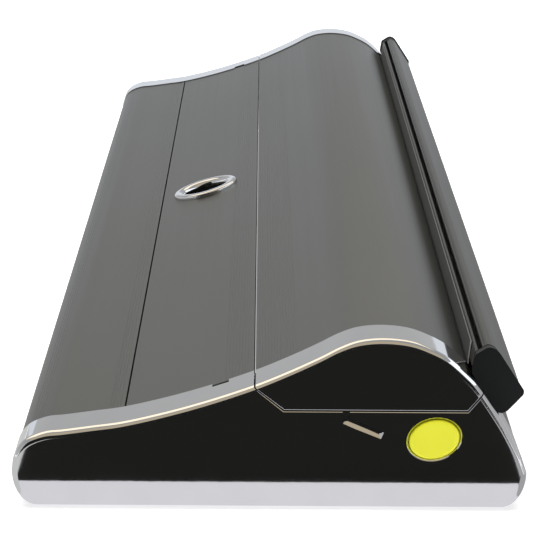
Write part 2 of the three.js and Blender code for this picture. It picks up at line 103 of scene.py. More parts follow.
class Paint:
    """A finish: a material whose Principled shader takes fixed numbers, colours and wires."""

    def __init__(self, name, **inputs):
        self.material = bpy.data.materials.new(name)
        self.material.use_nodes = True
        self.tree = self.material.node_tree
        self.shader = self.tree.nodes["Principled BSDF"]
        self.set(**inputs)

    def node(self, kind, settings, inputs, output=0):
        made = self.tree.nodes.new(kind)
        for setting, value in settings.items():
            if setting == "stops":
                for element, (place, colour) in zip(made.color_ramp.elements, value):
                    element.position = place
                    element.color = colour
            else:
                setattr(made, setting, value)
        for name, value in inputs.items():
            self.feed(made.inputs[name], value)
        return Wire(self, made.outputs[output])

    def sum(self, operation, a, b):
        return self.node("ShaderNodeMath", {"operation": operation}, {0: a, 1: b})

    def feed(self, socket, value):
        if isinstance(value, Wire):
            self.tree.links.new(value.socket, socket)
        else:
            socket.default_value = value

    def set(self, **inputs):
        for name, value in inputs.items():
            self.feed(self.shader.inputs[name.replace("_", " ")], value)

    def place(self, stretch):
        """Points of the piece, in metres times a stretch along each axis."""
        point = self.node("ShaderNodeTexCoord", {}, {}, "Object")
        return self.node("ShaderNodeVectorMath", {"operation": "MULTIPLY"}, {0: point, 1: stretch})

    def noise(self, stretch, detail=2.0, roughness=0.5):
        sockets = {"Vector": self.place(stretch), "Scale": 1.0}
        sockets.update(Detail=detail, Roughness=roughness)
        return self.node("ShaderNodeTexNoise", {}, sockets, "Fac")

    def tint(self, amount, low, high):
        """A colour between two others, by an amount from 0 to 1."""
        sockets = {0: amount, 6: (*low, 1.0), 7: (*high, 1.0)}
        return self.node("ShaderNodeMix", {"data_type": "RGBA"}, sockets, 2)

    def bump(self, height, strength, distance):
        sockets = {"Height": height, "Strength": strength, "Distance": distance}
        return self.node("ShaderNodeBump", {}, sockets, "Normal")


def spline_through(points, steps):
    """A smooth line through points, even in the step between each two."""
    line = []
    last = len(points) - 1
    for i in range(last):
        a, b = points[i], points[i + 1]
        before, after = points[max(i - 1, 0)], points[min(i + 2, last)]
        for step in range(steps):
            t = step / steps
            found = []
            for k in range(2):
                leave = (b[k] - before[k]) / 2
                reach = (after[k] - a[k]) / 2
                cubic = 2 * a[k] - 2 * b[k] + leave + reach
                square = -3 * a[k] + 3 * b[k] - 2 * leave - reach
                found.append(((cubic * t + square) * t + leave) * t + a[k])
            line.append(tuple(found))
    return line + [points[last]]


def beside(line, distances, closed=False):
    """The line beside an open or closed one.

    Outlines run from the rear over the top, so minus is inwards.
    """
    if isinstance(distances, float):
        distances = [distances] * len(line)
    moved = []
    last = len(line) - 1
    for i, (point, distance) in enumerate(zip(line, distances)):
        a = line[i - 1] if i > 0 or closed else point
        b = line[(i + 1) % len(line)] if i < last or closed else point
        length = math.dist(a, b)
        across, up = (b[1] - a[1]) / length, (b[0] - a[0]) / length
        moved.append((point[0] + across * distance, point[1] - up * distance))
    return moved


def round_foot(y, sign, bottom, steps=12):
    """The quarter round from a side of the stand down to its underside."""
    points = []
    for i in range(1, steps + 1):
        angle = i / steps * math.pi / 2
        across = y - sign * foot_width * (1 - math.cos(angle))
        points.append((across, foot_round - (foot_round - bottom) * math.sin(angle)))
    return points


def panel_point(t):
    foot = nose_top + 0.0041
    rise = crest - 0.0227 - foot
    return (rear_seam + (hood_seam - rear_seam) * t, foot + rise * (0.72 * t + 0.28 * t * t))


top_line = spline_through(
    [
        (rear, foot_round),
        (rear - 0.0008, nose_top - 0.014),
        (rear - 0.0032, nose_top - 0.0084),
        (rear - 0.0078, nose_top - 0.004),
        (rear - 0.0155, nose_top - 0.001),
        (rear - 0.024, nose_top),
        (rear - 0.038, nose_top + 0.002),
        panel_point(0),
        panel_point(1 / 3),
        panel_point(2 / 3),
        panel_point(1),
        (hood_seam - 0.016, crest - 0.0158),
        (hood_seam - 0.0295, crest - 0.0093),
        (hood_seam - 0.039, crest - 0.0043),
        (hood_seam - 0.048, crest - 0.0011),
        (front + 0.0685, crest),
        (front + 0.0565, crest - 0.0011),
        (front + 0.047, crest - 0.0043),
        (front + 0.0375, crest - 0.0094),
        (front + 0.0275, crest - 0.0182),
        (front + 0.022, crest - 0.0246),
        (front + 0.0135, crest - 0.0372),
        (front + 0.0085, crest - 0.0457),
        (front + 0.0045, 0.0295),
        (front + 0.0016, 0.022),
        (front, foot_round),
    ],
    6,
)
foot_edge = profile_foot - cap_proud
rear_foot = round_foot(rear, 1, foot_edge)[::-1]
front_foot = round_foot(front, -1, foot_edge)
profile_line = beside(rear_foot + top_line + front_foot, -cap_proud)
profile_line[0] = (profile_line[0][0], profile_foot)
profile_line[-1] = (profile_line[-1][0], profile_foot)


def height_at(y):
    """Height of the profiles' outer line at a place across the stand."""
    for a, b in zip(profile_line, profile_line[1:]):
        if b[0] <= y < a[0] and a[1] + b[1] > 0.04:
            return a[1] + (b[1] - a[1]) * (y - a[0]) / (b[0] - a[0])


def between(y_rear, y_front):
    """The profiles' outer line between two places across the stand."""
    middle = [p for p in profile_line if y_front < p[0] < y_rear and p[1] > 0.02]
    return [(y_rear, height_at(y_rear)), *middle, (y_front, height_at(y_front))]


def reeded(line, reeds, half=0.28 * mm, depth=0.13 * mm):
    """Sinks narrow grooves into a line, each at a distance along it from its last point."""
    walked = [0.0]
    for a, b in zip(line, line[1:]):
        walked.append(walked[-1] + math.dist(a, b))
    marks = [walked[-1] - reed for reed in reeds]
    stops = [(s, 0.0) for s in walked if all(abs(s - mark) > half for mark in marks)]
    for mark in marks:
        stops += [(mark - half, 0.0), (mark - half / 2, depth)]
        stops += [(mark + half / 2, depth), (mark + half, 0.0)]
    places, sinks = [], []
    for s, sink in sorted(stops):
        i = max(k for k in range(len(line) - 1) if walked[k] <= s or k == 0)
        t = (s - walked[i]) / (walked[i + 1] - walked[i])
        a, b = line[i], line[i + 1]
        places.append((a[0] + (b[0] - a[0]) * t, a[1] + (b[1] - a[1]) * t))
        sinks.append(-sink)
    return beside(places, sinks)


def eased(line, size=0.22 * mm):
    """Takes the sharp corner off the last point of a line that ends at a seam."""
    corner = Vector(line[-1])
    kept = [p for p in line[:-1] if math.dist(p, line[-1]) > 2 * size]
    back = (Vector(kept[-1]) - corner).normalized() * size
    down = Vector((0, -size))
    points = [corner + back * 1.5, corner + back, corner + back * 0.3 + down * 0.3, corner + down]
    return kept + [tuple(point) for point in points]


def eased_both(line):
    """Eases both ends of a line from one seam to another."""
    return eased(eased(line)[::-1], 0.1 * mm)[::-1]


def finished(mesh, edge=32):
    """Smooth shading up to an angle, with flat faces kept flat."""
    mesh.shade_smooth()
    mesh.set_sharp_from_angle(angle=math.radians(edge))
    return mesh


def extruded(loops, x_from, x_to):
    """A profile along X from loops of (y, z), the first the outside and the rest its hollows."""
    build = bmesh.new()
    edges = []
    for loop in loops:
        corners = [build.verts.new((x_from, y, z)) for y, z in loop]
        edges += [build.edges.new((corners[i - 1], corner)) for i, corner in enumerate(corners)]
    filled = bmesh.ops.triangle_fill(build, use_beauty=True, edges=edges)
    faces = [f for f in filled["geom"] if isinstance(f, bmesh.types.BMFace)]
    grown = bmesh.ops.extrude_face_region(build, geom=faces, use_keep_orig=True)
    moved = [v for v in grown["geom"] if isinstance(v, bmesh.types.BMVert)]
    bmesh.ops.translate(build, verts=moved, vec=(x_to - x_from, 0, 0))
    bmesh.ops.recalc_face_normals(build, faces=build.faces)
    mesh = bpy.data.meshes.new("extrusion")
    build.to_mesh(mesh)
    build.free()
    return finished(mesh)


def fitted(name, mesh, paint, slot, body, *nodes):
    """A finished piece, on its body, in place of its CAD nodes."""
    mesh.name = name
    piece = bpy.data.objects.new(name, mesh)
    bpy.context.scene.collection.objects.link(piece)
    mesh.materials.clear()
    mesh.materials.append(paint.material)
    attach(piece, body)
    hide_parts(*nodes)
    return piece


def anodising(name, low, high):
    """Dark grey anodised metal, drawn along X, between two shades."""
    paint = Paint(name, Metallic=0.92)
    streaks = paint.noise((2.0, 420.0, 420.0), 3.0, 0.6)
    bloom = paint.noise((5.0, 14.0, 14.0))
    grain = paint.noise((900.0, 5200.0, 5200.0), 1.0)
    paint.set(
        Base_Color=paint.tint(streaks * 0.55 + bloom * 0.45, low, high),
        Roughness=0.33 + streaks * 0.08 + grain * 0.05,
        Normal=paint.bump(streaks * 0.7 + grain * 0.3, 0.12, 0.0001),
    )
    return paint


anodised = anodising("anodised aluminium", (0.142, 0.149, 0.145), (0.196, 0.203, 0.198))

nose_front = rear_seam + seam_gap / 2
rear_half = profile_line[: len(profile_line) // 2]
nose_line = [p for p in rear_half if p[0] > nose_front or p[1] < foot_round]
nose_line.append((nose_front, height_at(nose_front)))
nose_hollow = [p for p in beside(nose_line, -wall) if p[0] > nose_front + wall]
nose_hollow[0] = (nose_hollow[0][0], floor_top)
nose_reeds = [d * mm for d in (2.2, 3.8, 5.4, 7.0, 40.0, 41.6, 43.2, 44.8)]
nose_mesh = extruded(
    [
        [*eased(reeded(nose_line, nose_reeds)), (nose_front, profile_foot)],
        [*nose_hollow, (nose_front + wall, nose_hollow[-1][1]), (nose_front + wall, floor_top)],
    ],
    -profile_end,
    profile_end,
)
fitted("rear_nose", nose_mesh, anodised, "anodised_aluminium", "base", "rear_nose_profile")

# ---------------------------------------------------------------- middle panel
# The base's gently hollowed middle: an extrusion with a closed section. It has a round hole at half
# its length for the pole's socket, and reeds beside the cassette's seam.

panel_rear = rear_seam - seam_gap / 2
panel_front = hood_seam + seam_gap / 2
socket_y = rear_seam - 0.028
socket_hole = 0.0173
flute_depth = 0.0006
fluted_from = 0.011


def turned(rim, centre=(0, 0, 0), turn=None, sides=64, hollow=False, flutes=0):
    """A round piece from (radius, height) points about Z; flutes press shallow grips into it."""
    rings = []
    for radius, height in rim:
        ring = []
        for i in range(sides):
            angle = 2 * math.pi * i / sides
            pressed = 0.0
            if flutes and radius > fluted_from:
                pressed = flute_depth * max(0.0, math.cos(flutes * angle)) ** 2
            r = radius - pressed
            ring.append((r * math.cos(angle), r * math.sin(angle), height))
        rings.append(ring)
    mesh = lofted(rings, around=hollow)
    if turn is not None:
        mesh.transform(turn.to_4x4())
    mesh.transform(Matrix.Translation(centre))
    return mesh


def lofted(rings, around=False, edge=32):
    """A closed skin over rings of points, with flat ends, or joined end to start."""
    build = bmesh.new()
    made = [[build.verts.new(p) for p in ring] for ring in rings]
    following = made[1:] + made[:1] if around else made[1:]
    for a, b in zip(made, following):
        for i in range(len(a)):
            build.faces.new((a[i - 1], a[i], b[i], b[i - 1]))
    if not around:
        build.faces.new(made[0])
        build.faces.new(made[-1])
    bmesh.ops.recalc_face_normals(build, faces=build.faces)
    mesh = bpy.data.meshes.new("loft")
    build.to_mesh(mesh)
    build.free()
    return finished(mesh, edge)


def carved(mesh, operation, *tools):
    """The mesh after each tool is cut from it, joined to it or kept in common with it."""
    work = bpy.data.objects.new("work", mesh)
    bpy.context.scene.collection.objects.link(work)
    for tool in tools:
        cutter = bpy.data.objects.new("cutter", tool)
        bpy.context.scene.collection.objects.link(cutter)
        modifier = work.modifiers.new("carve", "BOOLEAN")
        modifier.operation = operation
        modifier.solver = "EXACT"
        modifier.object = cutter
        seen = work.evaluated_get(bpy.context.evaluated_depsgraph_get())
        result = bpy.data.meshes.new_from_object(seen)
        work.modifiers.clear()
        work.data = result
        bpy.data.objects.remove(cutter)
    done = work.data
    bpy.data.objects.remove(work)
    return done


def flat_faces_kept(mesh, edge=32):
    """Shades a carved mesh so that its large flat faces stay flat and its rounds stay smooth."""
    finished(mesh, edge)
    work = bpy.data.objects.new("work", mesh)
    bpy.context.scene.collection.objects.link(work)
    weighting = work.modifiers.new("flat", "WEIGHTED_NORMAL")
    weighting.mode = "FACE_AREA"
    weighting.weight = 100
    weighting.keep_sharp = True
    seen = work.evaluated_get(bpy.context.evaluated_depsgraph_get())
    result = bpy.data.meshes.new_from_object(seen)
    bpy.data.objects.remove(work)
    return result


panel_line = between(panel_rear, panel_front)
panel_reeds = [(3.0 + 1.6 * i) * mm for i in range(8)]
panel_hollow = beside(between(panel_rear - wall, panel_front + wall), -wall)
panel_hollow = [p for p in panel_hollow if panel_front + wall < p[0] < panel_rear - wall]
panel_under = [(panel_front, profile_foot), (panel_rear, profile_foot)]
panel_mesh = extruded(
    [
        [*eased_both(reeded(panel_line, panel_reeds)), *panel_under],
        [
            (panel_rear - wall, panel_hollow[0][1]),
            *panel_hollow,
            (panel_front + wall, panel_hollow[-1][1]),
            (panel_front + wall, floor_top),
            (panel_rear - wall, floor_top),
        ],
    ],
    -profile_end,
    profile_end,
)
hole = turned([(socket_hole, floor_top + 0.006), (socket_hole, crest)], (0, socket_y, 0))
panel_mesh = finished(carved(panel_mesh, "DIFFERENCE", hole))
fitted("middle_panel", panel_mesh, anodised, "anodised_aluminium", "base", "middle_panel_profile")

# ---------------------------------------------------------------- front trough
# The front profile: an open trough that the cassette sits in. Its front is the slope that the top
# rail lies on, and its upper edge turns in as the lip of the slot that the graphic comes out of.

trough_rear = hood_seam - seam_gap / 2
slot_front = front + 0.0246
slot_top = height_at(slot_front)
trough_edge = height_at(trough_rear) - 4 * wall
lip_depth = 0.0026
slope_line = [p for p in profile_line[len(profile_line) // 2 :] if p[0] < slot_front]
slope_line = [(slot_front, slot_top), *slope_line]
slope_back = [p for p in beside(slope_line, -wall) if p[1] < slot_top - lip_depth]
slope_back[-1] = (slope_back[-1][0], floor_top)
trough_mesh = extruded(
    [
        [
            *slope_line,
            (trough_rear, profile_foot),
            (trough_rear, trough_edge - 0.0004),
            (trough_rear - 0.0004, trough_edge),
            (trough_rear - wall, trough_edge),
            (trough_rear - wall, floor_top),
            *slope_back[::-1],
            (slot_front + 0.0008, slot_top - lip_depth),
            (slot_front + 0.0029, slot_top - lip_depth),
            (slot_front + 0.0029, slot_top - 0.0012),
            (slot_front + 0.0004, slot_top - 0.0001),
        ]
    ],
    -profile_end,
    profile_end,
)
fitted("front_trough", trough_mesh, anodised, "anodised_aluminium", "base", "front_trough_profile")

# ---------------------------------------------------------------- foot pads
# Four round rubber pads, pressed and glued under the profiles. Their edges are rounded, and a
# shallow ring in each underside grips the floor.

rubber = Paint("foot rubber", Metallic=0.0, Specular_IOR_Level=0.3)
speckle = rubber.noise((2600.0, 2600.0, 2600.0), 2.0)
scuff = rubber.noise((90.0, 90.0, 90.0), 3.0)
rubber.set(
    Base_Color=rubber.tint(scuff, (0.012, 0.013, 0.013), (0.035, 0.036, 0.036)),
    Roughness=0.72 + speckle * 0.16,
    Normal=rubber.bump(speckle, 0.35, 0.0001),
)
for number in (1, 2, 3, 4):
    low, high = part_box(f"foot_pad_{number}")
    radius = (high.x - low.x) / 2
    top = high.z - low.z
    pad = turned(
        [
            (radius * 0.52, 0.0006),
            (radius * 0.6, 0.0001),
            (radius - 0.0009, 0.0),
            (radius - 0.0003, 0.0003),
            (radius, 0.0009),
            (radius - 0.0002, top - 0.0002),
            (radius - 0.0005, top),
        ],
        ((low.x + high.x) / 2, (low.y + high.y) / 2, low.z),
        sides=48,
    )
    fitted(f"pad_{number}", pad, rubber, "rubber", "base", f"foot_pad_{number}")

# ---------------------------------------------------------------- end caps
# Chromed castings that close both ends. The lower one holds the profiles on tongues and screws; the
# upper one belongs to the cassette and lifts out with it. A narrow bevelled gap parts the two.

chrome = Paint("chrome plate", Metallic=1.0)
smear = chrome.noise((26.0, 60.0, 60.0), 3.0)
polish = chrome.noise((240.0, 500.0, 500.0), 2.0)
chrome.set(
    Base_Color=chrome.tint(smear, (0.79, 0.8, 0.82), (0.86, 0.865, 0.875)),
    Roughness=0.035 + smear * 0.035,
    Normal=chrome.bump(polish + smear * 20.0, 0.012, 0.0001),
)

cap_face = -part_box("base_cap_left")[0].x
cap_start = profile_end + fit_gap
cap_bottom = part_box("base_cap_left")[0].z
cap_wall = 0.003
cap_seam = crest - 0.0345
rim_round = 0.0036
side_round = 0.003
edge_round = 0.0026
bottom_depth = rear - front - 2 * foot_width
bottom_line = [(front + foot_width + bottom_depth * i / 16, cap_bottom) for i in range(1, 16)]
cap_line = round_foot(rear, 1, cap_bottom)[::-1] + top_line + round_foot(front, -1, cap_bottom)
cap_line += bottom_line
least_round = 0.0003


def cap_rings(side, x_start, x_face, inset, thinner=0.0, steps=9):
    """Rings of an end cap, whose edge turns into the face with a small round all the way."""
    normals = [(q[0] - p[0], q[1] - p[1]) for p, q in zip(cap_line, beside(cap_line, -1.0, True))]
    rounds = []
    for across, up in normals:
        over = rim_round if up < 0 else edge_round
        rounds.append((max(side_round - thinner, least_round), max(over - thinner, least_round)))
    started = beside(cap_line, -inset, True)
    rings = [[(side * x_start, y, z) for y, z in started]]
    for step in range(steps + 1):
        angle = step / steps * math.pi / 2
        ring = []
        for (y, z), (across, up), (sideways, upright) in zip(started, normals, rounds):
            fall = 1 - math.cos(angle)
            deep = math.hypot(across * sideways, up * upright) * (1 - math.sin(angle))
            y_in, z_in = y + across * sideways * fall, z + up * upright * fall
            ring.append((side * (x_face - deep), y_in, z_in))
        rings.append(ring)
    return rings


def cassette_area(grow):
    """The cassette's outline in the end, open upwards, grown outwards by a distance."""
    return [
        (hood_seam + grow, crest + 0.02),
        (hood_seam + grow, height_at(hood_seam) - 0.0004),
        (hood_seam - 0.0136 + grow * 0.4, cap_seam - grow),
        (front + 0.0285 - grow * 0.4, cap_seam - grow),
        (front + 0.021 - grow, crest - 0.0254),
        (front - 0.02, crest + 0.015),
        (front - 0.02, crest + 0.02),
    ]


def lofted_along(side, stations, outline):
    """A cutter along X: at each (x, size) station it has outline(size)."""
    return lofted([[(side * x, y, z) for y, z in outline(size)] for x, size in stations])


def block(x, y, z):
    """A box between two places on each axis."""
    corners = ((y[0], z[0]), (y[1], z[0]), (y[1], z[1]), (y[0], z[1]))
    return lofted([[(a, b, c) for b, c in corners] for a in sorted(x)])


button_y = front + 0.0438
button_z = cap_seam - 0.0136
button_tilt = math.radians(-15)
button_along = 0.0119
button_over = 0.0093


def button_oval(grow, count=72):
    """The button's leaning oval, grown outwards by a distance."""
    points = []
    for i in range(count):
        t = 2 * math.pi * i / count
        along = (button_along + grow) * math.cos(t)
        over = (button_over + grow) * math.sin(t)
        y = button_y + along * math.cos(button_tilt) - over * math.sin(button_tilt)
        points.append((y, button_z + along * math.sin(button_tilt) + over * math.cos(button_tilt)))
    return points


def hook_groove(grow):
    """The slanting arm of the pressed hook beside the seam."""
    upper = (front + 0.0858 + grow, cap_seam - 0.0045)
    lower = (front + 0.068 - grow, cap_seam - 0.012 - grow * 0.4)
    line = [upper, lower]
    half = 0.0017 + grow
    return beside(line, half) + beside(line, -half)[::-1]


pin_x = profile_end + 0.0065
pin_z = cap_seam - 0.0107
pole_low, pole_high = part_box("pole_outer_tube")
pole_y = (pole_low.y + pole_high.y) / 2
pole_z = (pole_low.z + pole_high.z) / 2
pole_radius = (pole_high.z - pole_low.z) / 2
tongue_half = 0.009
tongue_thick = 0.003
lug_half = 0.0015
behind_cap = profile_end - 0.02
past_cap = cap_face + 0.02
along_x = Matrix(((0, 0, 1), (1, 0, 0), (0, 1, 0)))
along_y = Matrix(((1, 0, 0), (0, 0, 1), (0, -1, 0)))

ends = (("left", -1), ("right", 1))
for name, side in ends:
    whole = lofted(cap_rings(side, cap_start, cap_face, 0.0))
    room = lofted(cap_rings(side, profile_end - 0.001, cap_face - cap_wall, 0.0025, cap_wall, 5))
    gap = seam_gap / 2
    over_cassette = [(behind_cap, gap), (cap_face - 0.00025, gap), (cap_face + 0.00025, gap + 0.0005)]
    base_cap = carved(whole.copy(), "DIFFERENCE", lofted_along(side, over_cassette, cassette_area))
    seam_wall = lofted_along(side, [(behind_cap, cap_wall), (past_cap, cap_wall)], cassette_area)
    base_cap = carved(base_cap, "DIFFERENCE", carved(room.copy(), "DIFFERENCE", seam_wall))
    for y in (front + 0.0605, socket_y - 0.005):
        deep = (side * (profile_end - 0.016), side * (profile_end + 0.002))
        reach = (side * cap_start, side * (cap_face - 0.012))
        width = (y - tongue_half, y + tongue_half)
        level = floor_top + fit_gap
        base_cap = carved(
            base_cap,
            "UNION",
            block(reach, width, (cap_bottom + 0.001, level + tongue_thick)),
            block(deep, width, (level, level + tongue_thick)),
        )
        screw_at = (side * (profile_end - 0.008), y, 0)
        screw_bore = turned([(0.002, 0.0), (0.002, 0.02)], screw_at, sides=24)
        base_cap = carved(base_cap, "DIFFERENCE", screw_bore)
    for hand in (-1, 1):
        y = button_y + hand * 0.0095
        lug_x = (side * (pin_x - 0.0037), side * (pin_x + 0.004))
        lug = block(lug_x, (y - lug_half, y + lug_half), (pin_z - 0.0035, cap_seam - 0.0015))
        base_cap = carved(base_cap, "UNION", lug)
    pin_at = (side * pin_x, button_y, pin_z)
    pin_bore = turned([(0.0018, -0.02), (0.0018, 0.02)], pin_at, along_y, 24)
    hole = [(cap_face - 0.006, 0.0005), (cap_face - 0.0005, 0.0005), (cap_face + 0.0004, 0.0019)]
    pressed = [(cap_face - 0.0014, -0.0015), (cap_face + 0.0007, 0.0007)]
    through = (side * (cap_face - 0.005), side * (cap_face + 0.002))
    slit = block(through, (front + 0.0833, front + 0.0867), (cap_seam - 0.0052, cap_seam + 0.001))
    notch_x = (side * (profile_end - 0.001), side * (profile_end + 0.0045))
    notch_foot = height_at(hood_seam + 0.02) - 0.001
    notch = block(notch_x, (hood_seam + 0.0123, hood_seam + 0.0201), (notch_foot, crest))
    base_cap = carved(
        base_cap,
        "DIFFERENCE",
        pin_bore,
        lofted_along(side, hole, button_oval),
        lofted_along(side, pressed, hook_groove),
        slit,
        notch,
    )
    if side > 0:
        hatch = [
            (pole_radius + 0.001, profile_end - 0.03),
            (pole_radius + 0.001, cap_face - 0.0008),
            (pole_radius + 0.0028, cap_face + 0.001),
        ]
        base_cap = carved(base_cap, "DIFFERENCE", turned(hatch, (0, pole_y, pole_z), along_x))
    base_cap = flat_faces_kept(base_cap)
    fitted(f"end_cap_{name}", base_cap, chrome, "chrome", "base", f"base_cap_{name}")

    within = [(behind_cap, -gap), (cap_face - 0.0003, -gap), (cap_face + 0.0003, -gap - 0.0012)]
    inner = lofted_along(side, [(behind_cap, -cap_wall), (past_cap, -cap_wall)], cassette_area)
    upper = carved(whole, "INTERSECT", lofted_along(side, within, cassette_area))
    upper = flat_faces_kept(carved(upper, "DIFFERENCE", carved(room, "INTERSECT", inner)))
    fitted(f"cassette_end_{name}", upper, chrome, "chrome", "cassette", f"cassette_cap_{name}")

# ---------------------------------------------------------------- end-cap screws
# Two plated countersunk screws at each end, driven up through the profile's floor into the end
# cap's tongue. Each head has a hexagon recess and a rounded edge.

steel = Paint("zinc-plated steel", Metallic=1.0)
plating = steel.noise((160.0, 160.0, 160.0), 3.0)
brushing = steel.noise((40.0, 2200.0, 2200.0), 2.0)
steel.set(
    Base_Color=steel.tint(plating, (0.43, 0.44, 0.45), (0.58, 0.585, 0.59)),
    Roughness=0.26 + brushing * 0.14,
    Normal=steel.bump(brushing, 0.08, 0.0001),
)
for name, side in ends:
    for number in (1, 2):
        node = f"cap_screw_{name}_{number}"
        low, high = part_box(node)
        head = (high.x - low.x) / 2
        middle = ((low.x + high.x) / 2, (low.y + high.y) / 2, 0.0)
        screw = turned(
            [
                (head * 0.5, low.z + 0.0012),
                (head * 0.5, low.z + 0.0001),
                (head * 0.62, low.z),
                (head - 0.0003, low.z),
                (head, low.z + 0.0003),
                (head, low.z + 0.0016),
                (0.0017, low.z + 0.0016),
                (0.0017, high.z - 0.0004),
                (0.0013, high.z),
            ],
            middle,
            sides=24,
        )
        fitted(f"screw_{name}_{number}", screw, steel, "steel", "base", node)

# ---------------------------------------------------------------- release buttons
# A yellow moulded thumb button at each end. Its oval face is nearly flat with a rounded edge, and a
# flange behind the wall keeps it in. A short stem reaches the latch.

yellow = Paint("yellow plastic", Specular_IOR_Level=0.45, Coat_Roughness=0.2)
mould = yellow.noise((1500.0, 1500.0, 1500.0), 2.0)
cloud = yellow.noise((60.0, 60.0, 60.0), 2.0)
yellow.set(
    Base_Color=yellow.tint(cloud, (0.84, 0.83, 0.018), (0.9, 0.89, 0.026)),
    Roughness=0.34 + mould * 0.1,
    Normal=yellow.bump(mould, 0.1, 0.00008),
)
button_face = -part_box("release_button_left")[0].x
for name, side in ends:
    back = cap_face - cap_wall - fit_gap
    stations = [
        (back - 0.0022, 0.0018),
        (back - 0.0002, 0.0018),
        (back, 0.0016),
        (back, 0.0),
        (button_face - 0.0011, 0.0),
        (button_face - 0.0006, -0.0001),
        (button_face - 0.0002, -0.0004),
        (button_face - 0.00005, -0.0009),
        (button_face, -0.0016),
    ]
    button = lofted_along(side, stations, button_oval)
    spare_x = (side * profile_end, side * back)
    spare = block(spare_x, (front, 0), (cap_seam - cap_wall - 0.0005, crest))
    button = carved(button, "DIFFERENCE", spare)
    stem_ends = [(0.0015, side * x) for x in (pin_x + 0.0023, back - 0.001)]
    stem = turned(stem_ends, (0, button_y, pin_z - 0.008), along_x, sides=20)
    button = flat_faces_kept(carved(button, "UNION", stem))
    node = f"release_button_{name}"
    fitted(f"button_{name}", button, yellow, "yellow_plastic", f"button_{name}", node)

# ---------------------------------------------------------------- latches
# Behind each button a steel lever rocks on a pin between two lugs, and a small coil spring brings it
# back. They are stamped and plated, and stay hidden while the stand is closed.


def repainted(paint, *names):
    """CAD nodes whose shape is right keep it and take a finish."""
    for name in names:
        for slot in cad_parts[name].material_slots:
            slot.material = paint.material


repainted(steel, "latch_lever_left", "latch_lever_right", "latch_spring_left", "latch_spring_right")
for name, side in ends:
    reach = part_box(f"latch_pin_{name}")[1].y - button_y
    pin = turned(
        [
            (0.0011, -reach),
            (0.0015, -reach + 0.0004),
            (0.0015, reach - 0.0004),
            (0.0011, reach),
        ],
        (side * pin_x, button_y, pin_z),
        along_y,
        24,
    )
    fitted(f"pin_{name}", pin, steel, "steel", "base", f"latch_pin_{name}")

# ---------------------------------------------------------------- pole socket
# A chromed ring, pressed into the panel's hole and leaning with its slope, round a black moulded tube
# that stands on the profile's floor. The pole's foot goes in here.

collar_lean = math.atan2(height_at(socket_y - 0.008) - height_at(socket_y + 0.008), 0.016)
socket_bore = 0.01425
collar = turned(
    [
        (socket_bore + 0.0002, -0.0019),
        (0.0207, -0.0019),
        (0.02095, -0.0016),
        (0.02095, 0.0014),
        (0.0208, 0.0021),
        (0.0204, 0.0026),
        (0.0198, 0.0029),
        (0.019, 0.003),
        (0.0172, 0.003),
        (0.0163, 0.0028),
        (0.0156, 0.0023),
        (0.0151, 0.0016),
        (socket_bore + 0.0005, 0.0006),
        (socket_bore + 0.0002, -0.0006),
    ],
    (0, socket_y, height_at(socket_y)),
    Matrix.Rotation(-collar_lean, 3, "X"),
    96,
    hollow=True,
)
under_panel = beside(panel_line, 0.0001) + [(panel_front, 0.0), (panel_rear, 0.0)]
collar = carved(collar, "DIFFERENCE", extruded([under_panel], -0.05, 0.05))
fitted("socket_ring", flat_faces_kept(collar), chrome, "chrome", "base", "pole_socket_collar")

black = Paint("black moulded plastic", Specular_IOR_Level=0.42)
texture = black.noise((1700.0, 1700.0, 1700.0), 3.0)
wear = black.noise((45.0, 45.0, 45.0), 2.0)
black.set(
    Base_Color=black.tint(wear, (0.0055, 0.007, 0.0078), (0.0105, 0.0125, 0.0135)),
    Roughness=0.36 + texture * 0.2,
    Normal=black.bump(texture, 0.3, 0.0001),
)
repainted(black, "pole_socket_tube")

# ---------------------------------------------------------------- stowed pole
# A telescopic pole in three mill-finished aluminium tubes, with fluted twist locks, a foot plug and a
# hook that catches the top rail. Two plastic clips hold it in the nose.

mill = Paint("mill-finished aluminium", Metallic=1.0)
drawn = mill.noise((2.5, 700.0, 700.0), 3.0)
dulled = mill.noise((30.0, 30.0, 30.0), 3.0)
mill.set(
    Base_Color=mill.tint(drawn * 0.6 + dulled * 0.4, (0.52, 0.525, 0.53), (0.66, 0.665, 0.67)),
    Roughness=0.24 + drawn * 0.14,
    Normal=mill.bump(drawn, 0.1, 0.0001),
)


def pole_tube(node, paint, body, slot, flutes=0):
    """A tube along the pole in a CAD tube's place, with its edges turned."""
    low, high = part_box(node)
    outer = (high.z - low.z) / 2
    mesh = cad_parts[node].data
    inner = min(math.hypot(v.co.y - pole_y, v.co.z - pole_z) for v in mesh.vertices)
    turn = 0.0003
    rim = [
        (inner, low.x + turn),
        (inner + turn, low.x),
        (outer - turn, low.x),
        (outer, low.x + turn),
        (outer, high.x - turn),
        (outer - turn, high.x),
        (inner + turn, high.x),
        (inner, high.x - turn),
    ]
    if flutes:
        rim[4:5] = [(outer, low.x + 0.002), (outer, high.x - 0.002), (outer, high.x - turn)]
    tube = turned(rim, (0, pole_y, pole_z), along_x, 96 if flutes else 64, True, flutes)
    fitted(node.replace("pole_", "pole_part_"), tube, paint, slot, body, node)


pole_tube("pole_outer_tube", mill, "pole_outer", "mill_aluminium")
pole_tube("pole_middle_tube", mill, "pole_middle", "mill_aluminium")
pole_tube("pole_inner_tube", mill, "pole_inner", "mill_aluminium")
pole_tube("pole_lock_collar_outer", black, "pole_outer", "black_plastic", 16)
pole_tube("pole_lock_collar_inner", black, "pole_middle", "black_plastic", 16)

